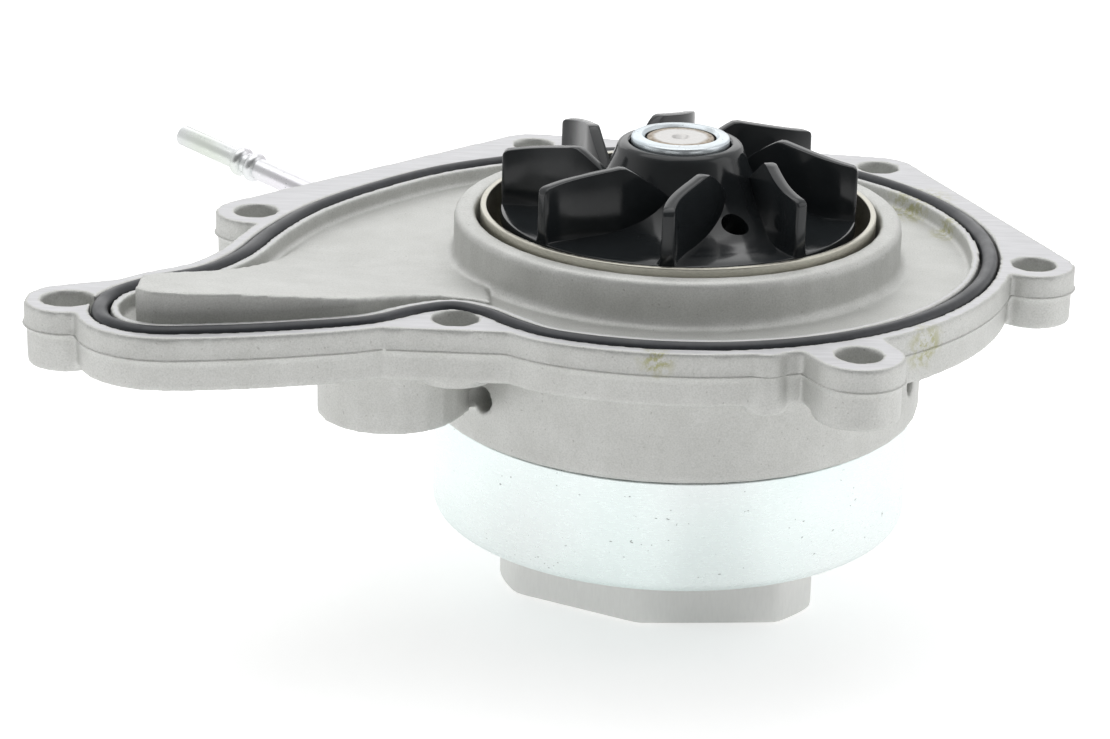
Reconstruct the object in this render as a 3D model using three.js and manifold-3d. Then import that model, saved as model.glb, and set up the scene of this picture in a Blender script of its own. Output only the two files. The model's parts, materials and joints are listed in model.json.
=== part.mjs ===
// Vacuum-switched coolant pump for a car engine.
//
// The pump turns about the Z axis. The drive hub's outer face lies on z = 0 and the impeller
// points up. All sizes are in millimetres.
import * as THREE from 'three';
import { mergeVertices } from 'three/addons/utils/BufferGeometryUtils.js';
import Module from 'manifold-3d';

const wasm = await Module();
wasm.setup();

// ---------------------------------------------------------------- driving dimensions

const GAP = 0.3;                 // clearance between pieces that touch
const FACE = 58.5;               // height of the flange's sealing face above the hub's outer face

const FLANGE_THICK = 8.6;
const PARTING = 3.6;             // depth of the mould parting line below the sealing face
const DRAFT_STEP = 0.35;         // how far the flange edge steps in below the parting line
const FLASH_HALF = 0.13;         // half the height of the thin flash left along the parting line
const FLASH_PROUD = 0.2;
const LUG_THICK = 9.8;
const LUG_STEPS = 28;            // sides of a lug's or bolt hole's circle
const SEAT_PROUD = 0.4;          // how far the far lugs' bolt seats stand below the flange
const BOLT_HOLE_R = 3.5;         // M6 clearance
const HOLE_SLOT = 0.5;           // the first hole is a slot, longer by this much to each side
const BOLTS = [                  // bolt positions and the radius of the lug around each
  { x: -94.1, y: -36.2, lug: 6.7 },
  { x: -69.8, y: 9.9, lug: 6.7 },
  { x: -24.2, y: 52.8, lug: 6.8 },
  { x: 36.8, y: 43.4, lug: 6.5 },
  { x: 57.3, y: -8.6, lug: 6.6 },
  { x: 25.5, y: -52.9, lug: 7.0 },
  { x: -34.6, y: -41.0, lug: 6.6 },
];

const SEAL_R = 50.9;             // radius of the seal where it runs round the pump axis
const SEAL_ARC = [247, 475];     // degrees, where that round stretch starts and ends
const SEAL_LOBE = [              // the seal's way round the outlet channel, back to the arc
  [-38.6, 37.3], [-51, 25.4], [-60.6, 12.4], [-66.2, -0.4], [-70.1, -13], [-74.8, -20.8],
  [-82.6, -26.8], [-87.6, -33], [-88.7, -39.6], [-86.4, -45.8], [-80.5, -49.2], [-70, -48.5],
  [-57.8, -45.9], [-47.5, -42.6], [-40.4, -37.3], [-35.2, -35.2], [-30.2, -37.6], [-25.4, -42.6],
];
const GROOVE_HALF = 1.6;
const GROOVE_DEPTH = 2.3;
const SEAL_PROUD = 0.45;         // how far the seal stands above the sealing face
const BAND_HALF = 3.9;           // flange metal outside the seal's centreline
const RIB_EDGE = 3.0;            // inner edge of the narrow rib inside the groove
const FLOOR = 2.6;               // depth of the water channel's floor
const RAMP_TOP = 4.5;            // height of the channel's raised end above the sealing face
const RAMP_EDGE = 4.6;           // the raised end's wall, measured in from the seal's centreline
const RAMP_END_X = -82.8;
const RAMP_SLOPE = 9.4;          // degrees
const RAMP_HEADING = 247.7;      // degrees, the way the ramp climbs
const RAMP_ZERO = 42.5;          // distance from the axis, along that heading, where it is at z = 0

const BOSS_R = 40.9;
const BOSS_BOTTOM = 26.7;
const DRUM_R = 34.0;             // the part of the housing that reaches into the pulley
const DRUM_BOTTOM = 38.5;
const COLLAR_R = 36.5;
const COLLAR_TOP = 4.8;
const WELL_R = 33.0;
const COVER_SEAT = 14.5;
const CHAMBER_R = 31.5;
const CHAMBER_FLOOR = 35.5;
const TOWER_R = 16.5;
const TOWER_TOP = 2.0;
const SIDE_BOSS = { x: -45.2, y: -27.5, r: 11.6, bottom: 20.2 };
const PLUG_R = 8.0;
const WEEP_ANGLES = [221, -21];  // degrees round the boss
const WEEP_DEPTH = 18.6;
const WEEP_R = 2.1;
const FRONT_PAD = { x: 12.0, y: -51.0, r: 3.3 };  // half-round pad on the flange's front wall

const PIPE_ANGLE = 143;          // degrees, the way the vacuum pipe leaves the housing
const PIPE_TILT = 8.4;           // degrees above level
const PIPE_R = 2.0;
const PIPE_BORE_R = 1.25;
const PIPE_AXIS_DEPTH = 14.4;    // depth of the pipe's axis where it crosses the boss wall
const PIPE_START = 36.5;         // distances along the pipe from the pump axis
const PIPE_END = 112.0;

const SLEEVE_R = 32.2;
const SLEEVE_WALL = 1.0;
const SLEEVE_TOP = 5.7;
const SLEEVE_BOTTOM = 10.0;
const SLEEVE_BASE_THICK = 1.4;
const PISTON_TOP = 27.8;
const PISTON_BOTTOM = 31.8;
const ROD_CIRCLE = 25.0;
const ROD_R = 1.5;
const ROD_ANGLES = [30, 150, 270];
const SPRING_R = 20.6;
const SPRING_WIRE_R = 0.6;
const SPRING_TURNS = 1.4;        // working turns, besides the closed ends

const BEARING_R = 13.0;
const BEARING_BORE_R = 10.6;
const BEARING_TOP = 13.8;
const BEARING_BOTTOM = 38.2;
const RACE_R = 6.0;              // the shaft where the balls and rollers run on it
const SHAFT_R = 5.5;
const SHAFT_TOP = 17.4;
const ROLL_R = 2.0;
const ROLL_CIRCLE = (RACE_R + BEARING_BORE_R) / 2;

const IMPELLER_R = 28.9;
const DISC_BOTTOM = 2.8;
const BLADES = 8;
const BLADE_FIRST = 355;         // degrees, the first blade's outer end
const BLADE_SWEEP = 36;          // degrees from a blade's outer end to its root at the hub
const BLADE_ROOT_R = 12.0;
const BLADE_THICK = 2.1;
const BLADE_RIM_TOP = 13.7;
const BLADE_PEAK_TOP = 16.3;
const BLADE_PEAK_R = 17.0;
const BLADE_ROOT_TOP = 11.5;
const BALANCE_ANGLES = [302, 32, 122, 212];
const BALANCE_R = 2.3;
const BUSH_R = 8.0;
const BUSH_TOP = 17.8;

const PULLEY_R = 39.45;
const PULLEY_WALL = 2.55;
const PULLEY_TOP = 27.2;
const PULLEY_BOTTOM = 45.6;
const WEB_THICK = 2.4;
const HUB_LOBE_R = 28.4;
const HUB_FLAT = 23.3;           // distance of the hub's flats from the axis
const HUB_FLAT_HALF = 16;        // degrees either side of the middle between two lobes
const HUB_FIRST_SIDE = 258;      // degrees, the middle of the first side
const HUB_NOSE_R = 9.0;
const SCREW_CIRCLE = 18.0;
const SCREW_ANGLES = [78, 198, 318];
const SCREW_R = 2.4;
const SCREW_HEAD_R = 4.2;
const SCREW_TIP = 52.0;

// ---------------------------------------------------------------- geometry helpers

const radians = (degrees) => THREE.MathUtils.degToRad(degrees);
const onCircle = (r, degrees) => [r * Math.cos(radians(degrees)), r * Math.sin(radians(degrees))];

/** A geometry with only merged positions left, and no triangle that has collapsed. */
function weld(geometry) {
  geometry.deleteAttribute('normal');
  geometry.deleteAttribute('uv');
  const merged = mergeVertices(geometry, 1e-4);
  const kept = [];
  const index = merged.index.array;
  for (let i = 0; i < index.length; i += 3) {
    const [a, b, c] = [index[i], index[i + 1], index[i + 2]];
    if (a !== b && b !== c && c !== a) kept.push(a, b, c);
  }
  merged.setIndex(kept);
  return merged;
}

/** A closed geometry as a solid that can be joined and cut. */
function solid(geometry) {
  const welded = weld(geometry);
  const mesh = new wasm.Mesh({
    numProp: 3,
    vertProperties: new Float32Array(welded.attributes.position.array),
    triVerts: new Uint32Array(welded.index.array),
  });
  return new wasm.Manifold(mesh);
}

/** A solid back as a geometry. */
function toGeometry(body) {
  const mesh = body.getMesh();
  const geometry = new THREE.BufferGeometry();
  geometry.setAttribute('position', new THREE.BufferAttribute(mesh.vertProperties, 3));
  geometry.setIndex(new THREE.BufferAttribute(mesh.triVerts, 1));
  return geometry;
}

/** Twice the area inside a loop of [x, y] points, positive if it runs anticlockwise. */
function signedArea(loop) {
  let area = 0;
  loop.forEach(([x, y], i) => {
    const [nextX, nextY] = loop[(i + 1) % loop.length];
    area += x * nextY - nextX * y;
  });
  return area;
}

/** A body of revolution about Z from a closed [radius, z] profile. */
function revolve(profile, segments = 20) {
  const loop = signedArea(profile) > 0 ? [...profile] : [...profile].reverse();
  loop.push(loop[0]);
  const points = loop.map(([r, z]) => new THREE.Vector2(r, z));
  return new THREE.LatheGeometry(points, segments).rotateX(Math.PI / 2);
}

/** A plain ring between two radii. */
const ring = (inner, outer, bottom, top, segments = 20) =>
  revolve([[inner, bottom], [outer, bottom], [outer, top], [inner, top]], segments);

/** An upright cylinder. */
function cylinder(r, bottom, top, x = 0, y = 0, segments = 16) {
  const geometry = new THREE.CylinderGeometry(r, r, top - bottom, segments);
  return geometry.rotateX(Math.PI / 2).translate(x, y, (bottom + top) / 2);
}

/** A cylinder along a level or tilted line that points away from the pump axis. */
function radialCylinder(r, from, to, heading, tilt, axisDepth, crossing, segments = 12) {
  const geometry = new THREE.CylinderGeometry(r, r, to - from, segments);
  geometry.translate(0, (from + to) / 2 - crossing, 0).rotateZ(-Math.PI / 2);
  geometry.rotateY(radians(-tilt)).translate(crossing, 0, -axisDepth);
  return geometry.rotateZ(radians(heading));
}

/** A closed outline of [x, y] points, with holes, extruded between two heights. */
function slab(outline, bottom, top, holes = []) {
  const vectors = (loop) => loop.map(([x, y]) => new THREE.Vector2(x, y));
  const shape = new THREE.Shape(vectors(outline));
  holes.forEach((hole) => shape.holes.push(new THREE.Path(vectors(hole))));
  const options = { depth: top - bottom, bevelEnabled: false };
  return new THREE.ExtrudeGeometry(shape, options).translate(0, 0, bottom);
}

/** The outline round two circles and everything between them. */
function capsule(a, b, steps = 14) {
  const length = Math.hypot(b.x - a.x, b.y - a.y);
  const heading = Math.atan2(b.y - a.y, b.x - a.x);
  const half = Math.acos((a.r - b.r) / length);
  const loop = [];
  for (let i = 0; i <= steps; i += 1) {
    const angle = heading + half + (2 * (Math.PI - half) * i) / steps;
    loop.push([a.x + a.r * Math.cos(angle), a.y + a.r * Math.sin(angle)]);
  }
  for (let i = 0; i <= steps; i += 1) {
    const angle = heading - half + (2 * half * i) / steps;
    loop.push([b.x + b.r * Math.cos(angle), b.y + b.r * Math.sin(angle)]);
  }
  return loop;
}

/** A closed loop moved sideways by a distance: outwards if positive. */
function offset(loop, distance) {
  return loop.map(([x, y], i) => {
    const [beforeX, beforeY] = loop[(i + loop.length - 1) % loop.length];
    const [afterX, afterY] = loop[(i + 1) % loop.length];
    const length = Math.hypot(afterX - beforeX, afterY - beforeY);
    const normal = [(afterY - beforeY) / length, (beforeX - afterX) / length];
    return [x + normal[0] * distance, y + normal[1] * distance];
  });
}

const join = (bodies) => bodies.reduce((whole, body) => whole.add(body));
const cut = (body, tools) => tools.reduce((rest, tool) => rest.subtract(tool), body);

// ---------------------------------------------------------------- materials

const finish = (color, roughness, metalness) =>
  new THREE.MeshStandardMaterial({ color, roughness, metalness });

const castAluminium = finish(0xb4b2ae, 0.6, 0.8);
const zincPlate = finish(0xc9d6d4, 0.25, 1.0);
const steel = finish(0xa9abad, 0.3, 1.0);
const brightSteel = finish(0xd0ccc2, 0.22, 1.0);
const sinteredSteel = finish(0xa3a4a2, 0.5, 0.9);
const sealRubber = finish(0x20252c, 0.45, 0.0);
const blackPlastic = finish(0x0d0e10, 0.35, 0.0);
const darkPlastic = finish(0x1c1c1e, 0.5, 0.0);
const carbon = finish(0x2a2a2c, 0.4, 0.1);
const ceramic = finish(0xd8d4c8, 0.3, 0.0);

const pump = new THREE.Group();

/** Adds a piece, modelled with the sealing face at z = 0, to the pump. */
function addPiece(name, geometry, material) {
  const mesh = new THREE.Mesh(geometry, material);
  mesh.name = name;
  mesh.position.z = FACE;
  pump.add(mesh);
}

// ---------------------------------------------------------------- seal path

function sealPath() {
  const points = [];
  for (let angle = SEAL_ARC[0]; angle <= SEAL_ARC[1]; angle += 15) {
    points.push(onCircle(SEAL_R, angle));
  }
  points.push(...SEAL_LOBE);
  const vectors = points.map(([x, y]) => new THREE.Vector3(x, y, 0));
  const curve = new THREE.CatmullRomCurve3(vectors, true, 'centripetal');
  return curve.getPoints(3 * points.length).slice(0, -1).map((p) => [p.x, p.y]);
}

const seal = sealPath();

// ---------------------------------------------------------------- housing

/** One layer of the flange: the band along the seal, the lugs and the webs between lugs. */
function flangeLayer(bottom, top, grow) {
  const lug = (i) => ({ x: BOLTS[i].x, y: BOLTS[i].y, r: BOLTS[i].lug + grow });
  const band = solid(slab(offset(seal, BAND_HALF + grow), bottom, top));
  const webs = [[1, 2], [2, 3], [3, 4]].map(([a, b]) => solid(slab(capsule(lug(a), lug(b)), bottom, top)));
  const ends = [0, 5].map((i) => {
    const root = { x: BOLTS[i].x * 0.9, y: BOLTS[i].y * 0.9, r: BOLTS[i].lug + grow };
    return solid(slab(capsule(lug(i), root), bottom, top));
  });
  const front = [[-45, -46.1 - grow], [-25 + grow, -46.9 - grow], [-25 + grow, -30], [-45, -30]];
  return join([band, ...webs, ...ends, solid(slab(front, bottom, top))]);
}

/** The raised end of the water channel, which climbs towards the outlet. */
function outletRamp() {
  const slope = Math.tan(radians(RAMP_SLOPE));
  const flatFrom = RAMP_ZERO + RAMP_TOP / slope;
  const floorAt = RAMP_ZERO - FLOOR / slope;
  const easing = 8;
  const profile = [[floorAt - easing, -FLANGE_THICK + 1], [120, -FLANGE_THICK + 1], [120, RAMP_TOP]];
  profile.push([flatFrom + easing / 2, RAMP_TOP], [flatFrom - easing / 2, RAMP_TOP - easing * slope / 2]);
  for (let i = 0; i <= 6; i += 1) {
    const t = 1 - i / 6;
    profile.push([floorAt - easing + 2 * easing * t, -FLOOR + slope * easing * t * t]);
  }
  const wedge = slab(profile, -90, 90).rotateX(Math.PI / 2).rotateZ(radians(RAMP_HEADING));
  const plan = slab(offset(seal, -RAMP_EDGE), -FLANGE_THICK + 1, RAMP_TOP + 1);
  const end = [[RAMP_END_X, -60], [-27, -60], [-30, -26], [-34, 10], [RAMP_END_X, 60]];
  return solid(wedge).intersect(solid(plan)).intersect(solid(slab(end, -FLANGE_THICK, RAMP_TOP + 1)));
}

/** Ribs under the flange, from the boss to the far lugs. */
function flangeRibs() {
  return [1, 3, 4].map((i) => {
    const { x, y } = BOLTS[i];
    const reach = Math.hypot(x, y) - 4;
    const profile = [
      [BOSS_R - 3, -22], [BOSS_R + 2, -20], [reach, -FLANGE_THICK], [BOSS_R - 3, -FLANGE_THICK + 1],
    ];
    const rib = slab(profile, -2, 2).rotateX(Math.PI / 2);
    return solid(rib.rotateZ(Math.atan2(y, x)));
  });
}

/** Everything that is bored out round the pump axis. */
function housingBore() {
  const towerBore = BEARING_R + GAP;
  const sealSeat = 11.0;
  const ringGroove = { bottom: -11.9, top: -10.3, r: WELL_R + 1.2 };
  const wiperGroove = { bottom: -3.4, top: -0.6, r: WELL_R + 1.3 };
  const well = revolve([
    [TOWER_R, -CHAMBER_FLOOR], [CHAMBER_R, -CHAMBER_FLOOR], [CHAMBER_R, -COVER_SEAT],
    [WELL_R, -COVER_SEAT], [WELL_R, ringGroove.bottom], [ringGroove.r, ringGroove.bottom],
    [ringGroove.r, ringGroove.top], [WELL_R, ringGroove.top], [WELL_R, wiperGroove.bottom],
    [wiperGroove.r, wiperGroove.bottom], [wiperGroove.r, wiperGroove.top], [WELL_R, wiperGroove.top],
    [WELL_R, COLLAR_TOP - 0.5], [WELL_R + 0.5, COLLAR_TOP], [WELL_R + 0.5, COLLAR_TOP + 1],
    [0, COLLAR_TOP + 1], [0, -TOWER_TOP], [TOWER_R, -TOWER_TOP],
  ], 44);
  const bearingBore = revolve([
    [0, -DRUM_BOTTOM - 1], [towerBore, -DRUM_BOTTOM - 1], [towerBore, -BEARING_TOP + GAP],
    [sealSeat, -BEARING_TOP + GAP], [sealSeat, 0], [0, 0],
  ]);
  return [solid(well), solid(bearingBore)];
}

function pumpHousing() {
  const upper = flangeLayer(-PARTING, 0, 0);
  const flash = flangeLayer(-PARTING - FLASH_HALF, -PARTING + FLASH_HALF, FLASH_PROUD);
  const lower = flangeLayer(-FLANGE_THICK, -PARTING, -DRAFT_STEP);
  const recess = solid(slab(offset(seal, -RIB_EDGE), -FLOOR, 1));
  const grooveLoops = [offset(seal, GROOVE_HALF), offset(seal, -GROOVE_HALF)];
  const groove = solid(slab(grooveLoops[0], -GROOVE_DEPTH, 1, [grooveLoops[1]]));
  const pad = solid(cylinder(FRONT_PAD.r, -LUG_THICK, 0, FRONT_PAD.x, FRONT_PAD.y, 28));
  const plate = cut(join([upper, flash, lower, pad]), [recess, groove]);

  const collar = revolve([
    [0, -FLANGE_THICK], [COLLAR_R + 1.2, -FLANGE_THICK], [COLLAR_R + 1.2, -FLOOR],
    [COLLAR_R + 0.4, -FLOOR + 0.4], [COLLAR_R, -FLOOR + 1.2], [COLLAR_R, COLLAR_TOP - 1.0],
    [COLLAR_R - 0.3, COLLAR_TOP - 0.3], [COLLAR_R - 1.0, COLLAR_TOP], [0, COLLAR_TOP],
  ], 44);
  const boss = revolve([
    [0, -DRUM_BOTTOM], [DRUM_R - 0.8, -DRUM_BOTTOM], [DRUM_R, -DRUM_BOTTOM + 0.8], [DRUM_R, -BOSS_BOTTOM],
    [BOSS_R - 0.7, -BOSS_BOTTOM], [BOSS_R, -BOSS_BOTTOM + 0.7], [BOSS_R, -FLANGE_THICK + 0.5],
    [0, -FLANGE_THICK + 0.5],
  ], 44);
  const lugs = BOLTS.map(({ x, y, lug }) => {
    const seat = y < -30 ? LUG_THICK : FLANGE_THICK + SEAT_PROUD;
    const inward = x > -50 && y < -30 && x < 0 ? 1.2 : 0;
    return solid(cylinder(lug - DRAFT_STEP, -seat, -PARTING, x, y + inward, LUG_STEPS));
  });
  const inBoss = { x: SIDE_BOSS.x * 0.72, y: SIDE_BOSS.y * 0.72, r: 3 };
  const sideBoss = solid(slab(capsule(SIDE_BOSS, inBoss, 14), -SIDE_BOSS.bottom, -FLANGE_THICK + 0.5));
  const pipe = [PIPE_ANGLE, PIPE_TILT, PIPE_AXIS_DEPTH, BOSS_R];
  const pipeBoss = solid(radialCylinder(4.6, BOSS_R - 6, 49, ...pipe));
  const round = [solid(collar), solid(boss), sideBoss, pipeBoss];
  const body = join([plate, outletRamp(), ...round, ...lugs, ...flangeRibs()]);

  const holes = BOLTS.map(({ x, y }) => {
    return solid(cylinder(BOLT_HOLE_R, -LUG_THICK - 1, 1, x, y, LUG_STEPS));
  });
  const [{ x: slotX, y: slotY }] = BOLTS;
  const slotEnd = (side) => ({ x: slotX + side * HOLE_SLOT, y: slotY, r: BOLT_HOLE_R });
  const slot = solid(slab(capsule(slotEnd(-1), slotEnd(1)), -LUG_THICK - 1, 1));
  const weeps = WEEP_ANGLES.map((angle) => {
    return solid(radialCylinder(WEEP_R, BOSS_R - 6, BOSS_R + 2, angle, 0, WEEP_DEPTH, BOSS_R));
  });
  const pipeBore = solid(radialCylinder(PIPE_R + GAP, PIPE_START - GAP, 60, ...pipe));
  const passage = solid(radialCylinder(1.1, CHAMBER_R - 2, PIPE_START + 1, ...pipe));
  const { x: plugX, y: plugY, bottom: plugFace } = SIDE_BOSS;
  const plugBore = solid(cylinder(PLUG_R, -plugFace - 1, -plugFace + 5, plugX, plugY));
  return cut(body, [...housingBore(), ...holes, slot, ...weeps, pipeBore, passage, plugBore]);
}

function flangeGasket() {
  const half = GROOVE_HALF - GAP;
  const bottom = -GROOVE_DEPTH + GAP;
  return slab(offset(seal, half), bottom, SEAL_PROUD, [offset(seal, -half)]);
}

/** The steel pipe for the vacuum hose, with two beads that hold the hose on. */
function vacuumPipe() {
  const crest = PIPE_R + 0.7;
  const bead = (at) => [[PIPE_R, at - 1.1], [crest, at - 0.5], [crest, at + 0.5], [PIPE_R, at + 1.1]];
  const profile = [
    [PIPE_BORE_R, PIPE_START], [PIPE_R, PIPE_START], ...bead(94.0), ...bead(97.2),
    [PIPE_R, PIPE_END - 0.4], [PIPE_R - 0.4, PIPE_END], [PIPE_BORE_R, PIPE_END],
  ];
  const pipe = revolve(profile, 16).translate(0, 0, -BOSS_R).rotateY(Math.PI / 2);
  pipe.rotateY(radians(-PIPE_TILT)).translate(BOSS_R, 0, -PIPE_AXIS_DEPTH);
  return pipe.rotateZ(radians(PIPE_ANGLE));
}

function corePlug() {
  const r = PLUG_R - GAP;
  const bottom = -SIDE_BOSS.bottom + 0.4;
  const profile = [
    [0, bottom + 3.4], [0, bottom + 4.2], [r, bottom + 4.2], [r, bottom], [r - 0.9, bottom],
    [r - 0.9, bottom + 2.8], [r - 1.6, bottom + 3.4],
  ];
  return revolve(profile, 28).translate(SIDE_BOSS.x, SIDE_BOSS.y, 0);
}

addPiece('pump_housing', toGeometry(pumpHousing()), castAluminium);
addPiece('flange_gasket', weld(flangeGasket()), sealRubber);
addPiece('vacuum_pipe', weld(vacuumPipe()), zincPlate);
addPiece('core_plug', weld(corePlug()), zincPlate);

// ---------------------------------------------------------------- vacuum actuator

const rodPlaces = ROD_ANGLES.map((angle) => onCircle(ROD_CIRCLE, angle));

/** The plate that closes the vacuum chamber; the pull rods slide in its holes. */
function chamberCover() {
  const plate = solid(ring(TOWER_R + GAP, WELL_R - GAP, -COVER_SEAT + GAP, -12.2, 28));
  const holes = rodPlaces.map(([x, y]) => solid(cylinder(ROD_R + GAP, -16, -10, x, y, 10)));
  return toGeometry(cut(plate, holes));
}

/** The bright ring that slides out over the impeller, with its inward base. */
function controlSleeve() {
  const inner = SLEEVE_R - SLEEVE_WALL;
  const base = -SLEEVE_BOTTOM + SLEEVE_BASE_THICK;
  return revolve([
    [TOWER_R + 0.7, -SLEEVE_BOTTOM], [SLEEVE_R - 0.6, -SLEEVE_BOTTOM], [SLEEVE_R, -SLEEVE_BOTTOM + 0.6],
    [SLEEVE_R, SLEEVE_TOP - 0.3], [SLEEVE_R - 0.3, SLEEVE_TOP], [inner, SLEEVE_TOP],
    [inner, base], [TOWER_R + 0.7, base],
  ], 44);
}

/** A lip seal: a ring whose free lip leans on the wall. Side is +1 for an outer wall. */
function lipSeal(r, side, bottom, top) {
  const middle = (bottom + top) / 2;
  return revolve([
    [r, bottom], [r + side * 0.7, bottom], [r + side * 0.5, middle], [r + side * 0.9, top],
    [r + side * 0.5, top], [r, middle],
  ], 28);
}

/** The return spring, a round wire on a helix with closed ends. */
function returnSpring() {
  const bottom = -PISTON_TOP + GAP + SPRING_WIRE_R;
  const top = -COVER_SEAT - GAP - SPRING_WIRE_R;
  const turns = SPRING_TURNS + 1.5;
  const steps = Math.round(turns * 12);
  const dead = 0.75 / turns;
  const points = [];
  for (let i = 0; i <= steps; i += 1) {
    const t = i / steps;
    const rise = THREE.MathUtils.smoothstep(t, dead * 0.6, 1 - dead * 0.6) * 0.72 + t * 0.28;
    const [x, y] = onCircle(SPRING_R, 360 * turns * t);
    points.push(new THREE.Vector3(x, y, bottom + (top - bottom) * rise));
  }
  const curve = new THREE.CatmullRomCurve3(points);
  const section = new THREE.Shape();
  section.absarc(0, 0, SPRING_WIRE_R, 0, 2 * Math.PI);
  return new THREE.ExtrudeGeometry(section, { steps, extrudePath: curve, curveSegments: 2 });
}

addPiece('chamber_cover', chamberCover(), darkPlastic);
addPiece('cover_retaining_ring', weld(ring(31.9, WELL_R + 1.2 - GAP, -11.6, -10.6, 28)), steel);
addPiece('sleeve_wiper', weld(ring(SLEEVE_R + GAP, WELL_R + 1.3 - GAP, -3.1, -0.9, 44)), sealRubber);
addPiece('control_sleeve', weld(controlSleeve()), brightSteel);
addPiece('actuator_piston', weld(ring(18.2, 30.0, -PISTON_BOTTOM, -PISTON_TOP, 28)), darkPlastic);
addPiece('piston_outer_seal', weld(lipSeal(30.3, 1, -PISTON_BOTTOM, -PISTON_TOP)), sealRubber);
addPiece('piston_inner_seal', weld(lipSeal(17.9, -1, -PISTON_BOTTOM, -PISTON_TOP)), sealRubber);
rodPlaces.forEach(([x, y], i) => {
  const rod = cylinder(ROD_R, -PISTON_TOP + GAP, -SLEEVE_BOTTOM - GAP, x, y, 10);
  addPiece(`pull_rod_${i + 1}`, weld(rod), steel);
});
addPiece('return_spring', weld(returnSpring()), steel);

// ---------------------------------------------------------------- bearing and shaft seal

/** Balls or rollers held apart by one cage ring. */
function rollingSet(count, middle, halfLength, makeRoller) {
  const [inner, outer] = [ROLL_CIRCLE - 0.5, ROLL_CIRCLE + 0.5];
  const cage = solid(ring(inner, outer, middle - halfLength, middle + halfLength, 24));
  const rollers = [];
  for (let i = 0; i < count; i += 1) {
    const [x, y] = onCircle(ROLL_CIRCLE, (360 * i) / count);
    rollers.push(solid(makeRoller().translate(x, y, middle)));
  }
  return toGeometry(join([cage, ...rollers]));
}

/** The shaft: thin end in the impeller, raceways in the bearing, thick end in the hub. */
function shaft() {
  const step = -BEARING_TOP + 1;
  return revolve([
    [0, -55.0], [RACE_R - 0.5, -55.0], [RACE_R, -54.5], [RACE_R, step], [SHAFT_R, step + 0.5],
    [SHAFT_R, SHAFT_TOP - 0.4], [SHAFT_R - 0.4, SHAFT_TOP], [1.1, SHAFT_TOP], [0, SHAFT_TOP - 0.9],
  ], 28);
}

/** The fixed cup of the mechanical shaft seal, pressed into the housing. */
function sealCup() {
  return revolve([
    [6.9, -11.2], [10.7, -11.2], [10.7, -2.6], [9.9, -2.6], [9.9, -10.4], [6.9, -10.4],
  ]);
}

/** The rubber bellows that push the carbon ring up. */
function sealBellows() {
  return revolve([
    [6.4, -10.0], [9.3, -10.0], [9.5, -9.2], [8.3, -8.2], [9.5, -7.2], [8.3, -6.2], [9.3, -5.4],
    [9.3, -4.6], [6.4, -4.6], [7.3, -6.4], [6.5, -7.4], [7.3, -8.4],
  ]);
}

addPiece('bearing_outer_ring', weld(ring(BEARING_BORE_R, BEARING_R, -BEARING_BOTTOM, -BEARING_TOP)), steel);
addPiece('ball_cage', rollingSet(9, -32, 1.4, () => new THREE.SphereGeometry(ROLL_R, 6, 5)), steel);
addPiece('roller_cage', rollingSet(10, -20.5, 4.2, () => cylinder(ROLL_R, -3.6, 3.6, 0, 0, 6)), steel);
addPiece('bearing_seal_rear', weld(ring(RACE_R + GAP, BEARING_BORE_R - GAP, -37.8, -36.6)), sealRubber);
addPiece('bearing_seal_front', weld(ring(RACE_R + GAP, BEARING_BORE_R - GAP, -15.6, -14.4)), sealRubber);
addPiece('shaft', weld(shaft()), steel);
addPiece('seal_cup', weld(sealCup()), brightSteel);
addPiece('seal_bellows', weld(sealBellows()), sealRubber);
addPiece('carbon_ring', weld(ring(6.4, 9.0, -4.3, -1.2)), carbon);
addPiece('counter_ring', weld(ring(SHAFT_R + GAP, 9.6, -0.9, DISC_BOTTOM - GAP)), ceramic);

// ---------------------------------------------------------------- impeller

/** Height of a blade's top edge at a radius: it rises from the rim to a peak, then falls to the hub. */
function bladeTop(r) {
  if (r > BLADE_PEAK_R) {
    const t = (r - BLADE_PEAK_R) / (IMPELLER_R - BLADE_PEAK_R);
    return BLADE_PEAK_TOP + (BLADE_RIM_TOP - BLADE_PEAK_TOP) * t ** 0.9;
  }
  const t = (BLADE_PEAK_R - r) / (BLADE_PEAK_R - BLADE_ROOT_R);
  return BLADE_PEAK_TOP + (BLADE_ROOT_TOP - BLADE_PEAK_TOP) * t ** 1.3;
}

/** One curved blade: a thin wall in plan, trimmed by the shape of its top edge. */
function blade(first) {
  const steps = 8;
  const centre = [];
  for (let i = 0; i <= steps; i += 1) {
    const r = IMPELLER_R - 0.2 + (BLADE_ROOT_R - 2.5 - IMPELLER_R) * (i / steps);
    const inward = Math.max(0, (IMPELLER_R - r) / (IMPELLER_R - BLADE_ROOT_R));
    centre.push(onCircle(r, first + BLADE_SWEEP * inward ** 2.4));
  }
  const side = (sign) => centre.map(([x, y], i) => {
    const [ax, ay] = centre[Math.max(i - 1, 0)];
    const [bx, by] = centre[Math.min(i + 1, steps)];
    const length = Math.hypot(bx - ax, by - ay);
    const half = (sign * BLADE_THICK) / 2;
    return [x - (half * (by - ay)) / length, y + (half * (bx - ax)) / length];
  });
  const outline = [...side(1), ...side(-1).reverse()];
  const wall = solid(slab(signedArea(outline) > 0 ? outline : outline.reverse(), 4, 20));
  const profile = [[0, 3]];
  const samples = 6;
  profile.push([IMPELLER_R + 1, 3], [IMPELLER_R + 1, BLADE_RIM_TOP]);
  for (let i = 0; i <= samples; i += 1) {
    const r = IMPELLER_R + (BLADE_ROOT_R - IMPELLER_R) * (i / samples);
    profile.push([r, bladeTop(r)]);
  }
  profile.push([0, BLADE_ROOT_TOP]);
  return wall.intersect(solid(revolve(profile, 36)));
}

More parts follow.
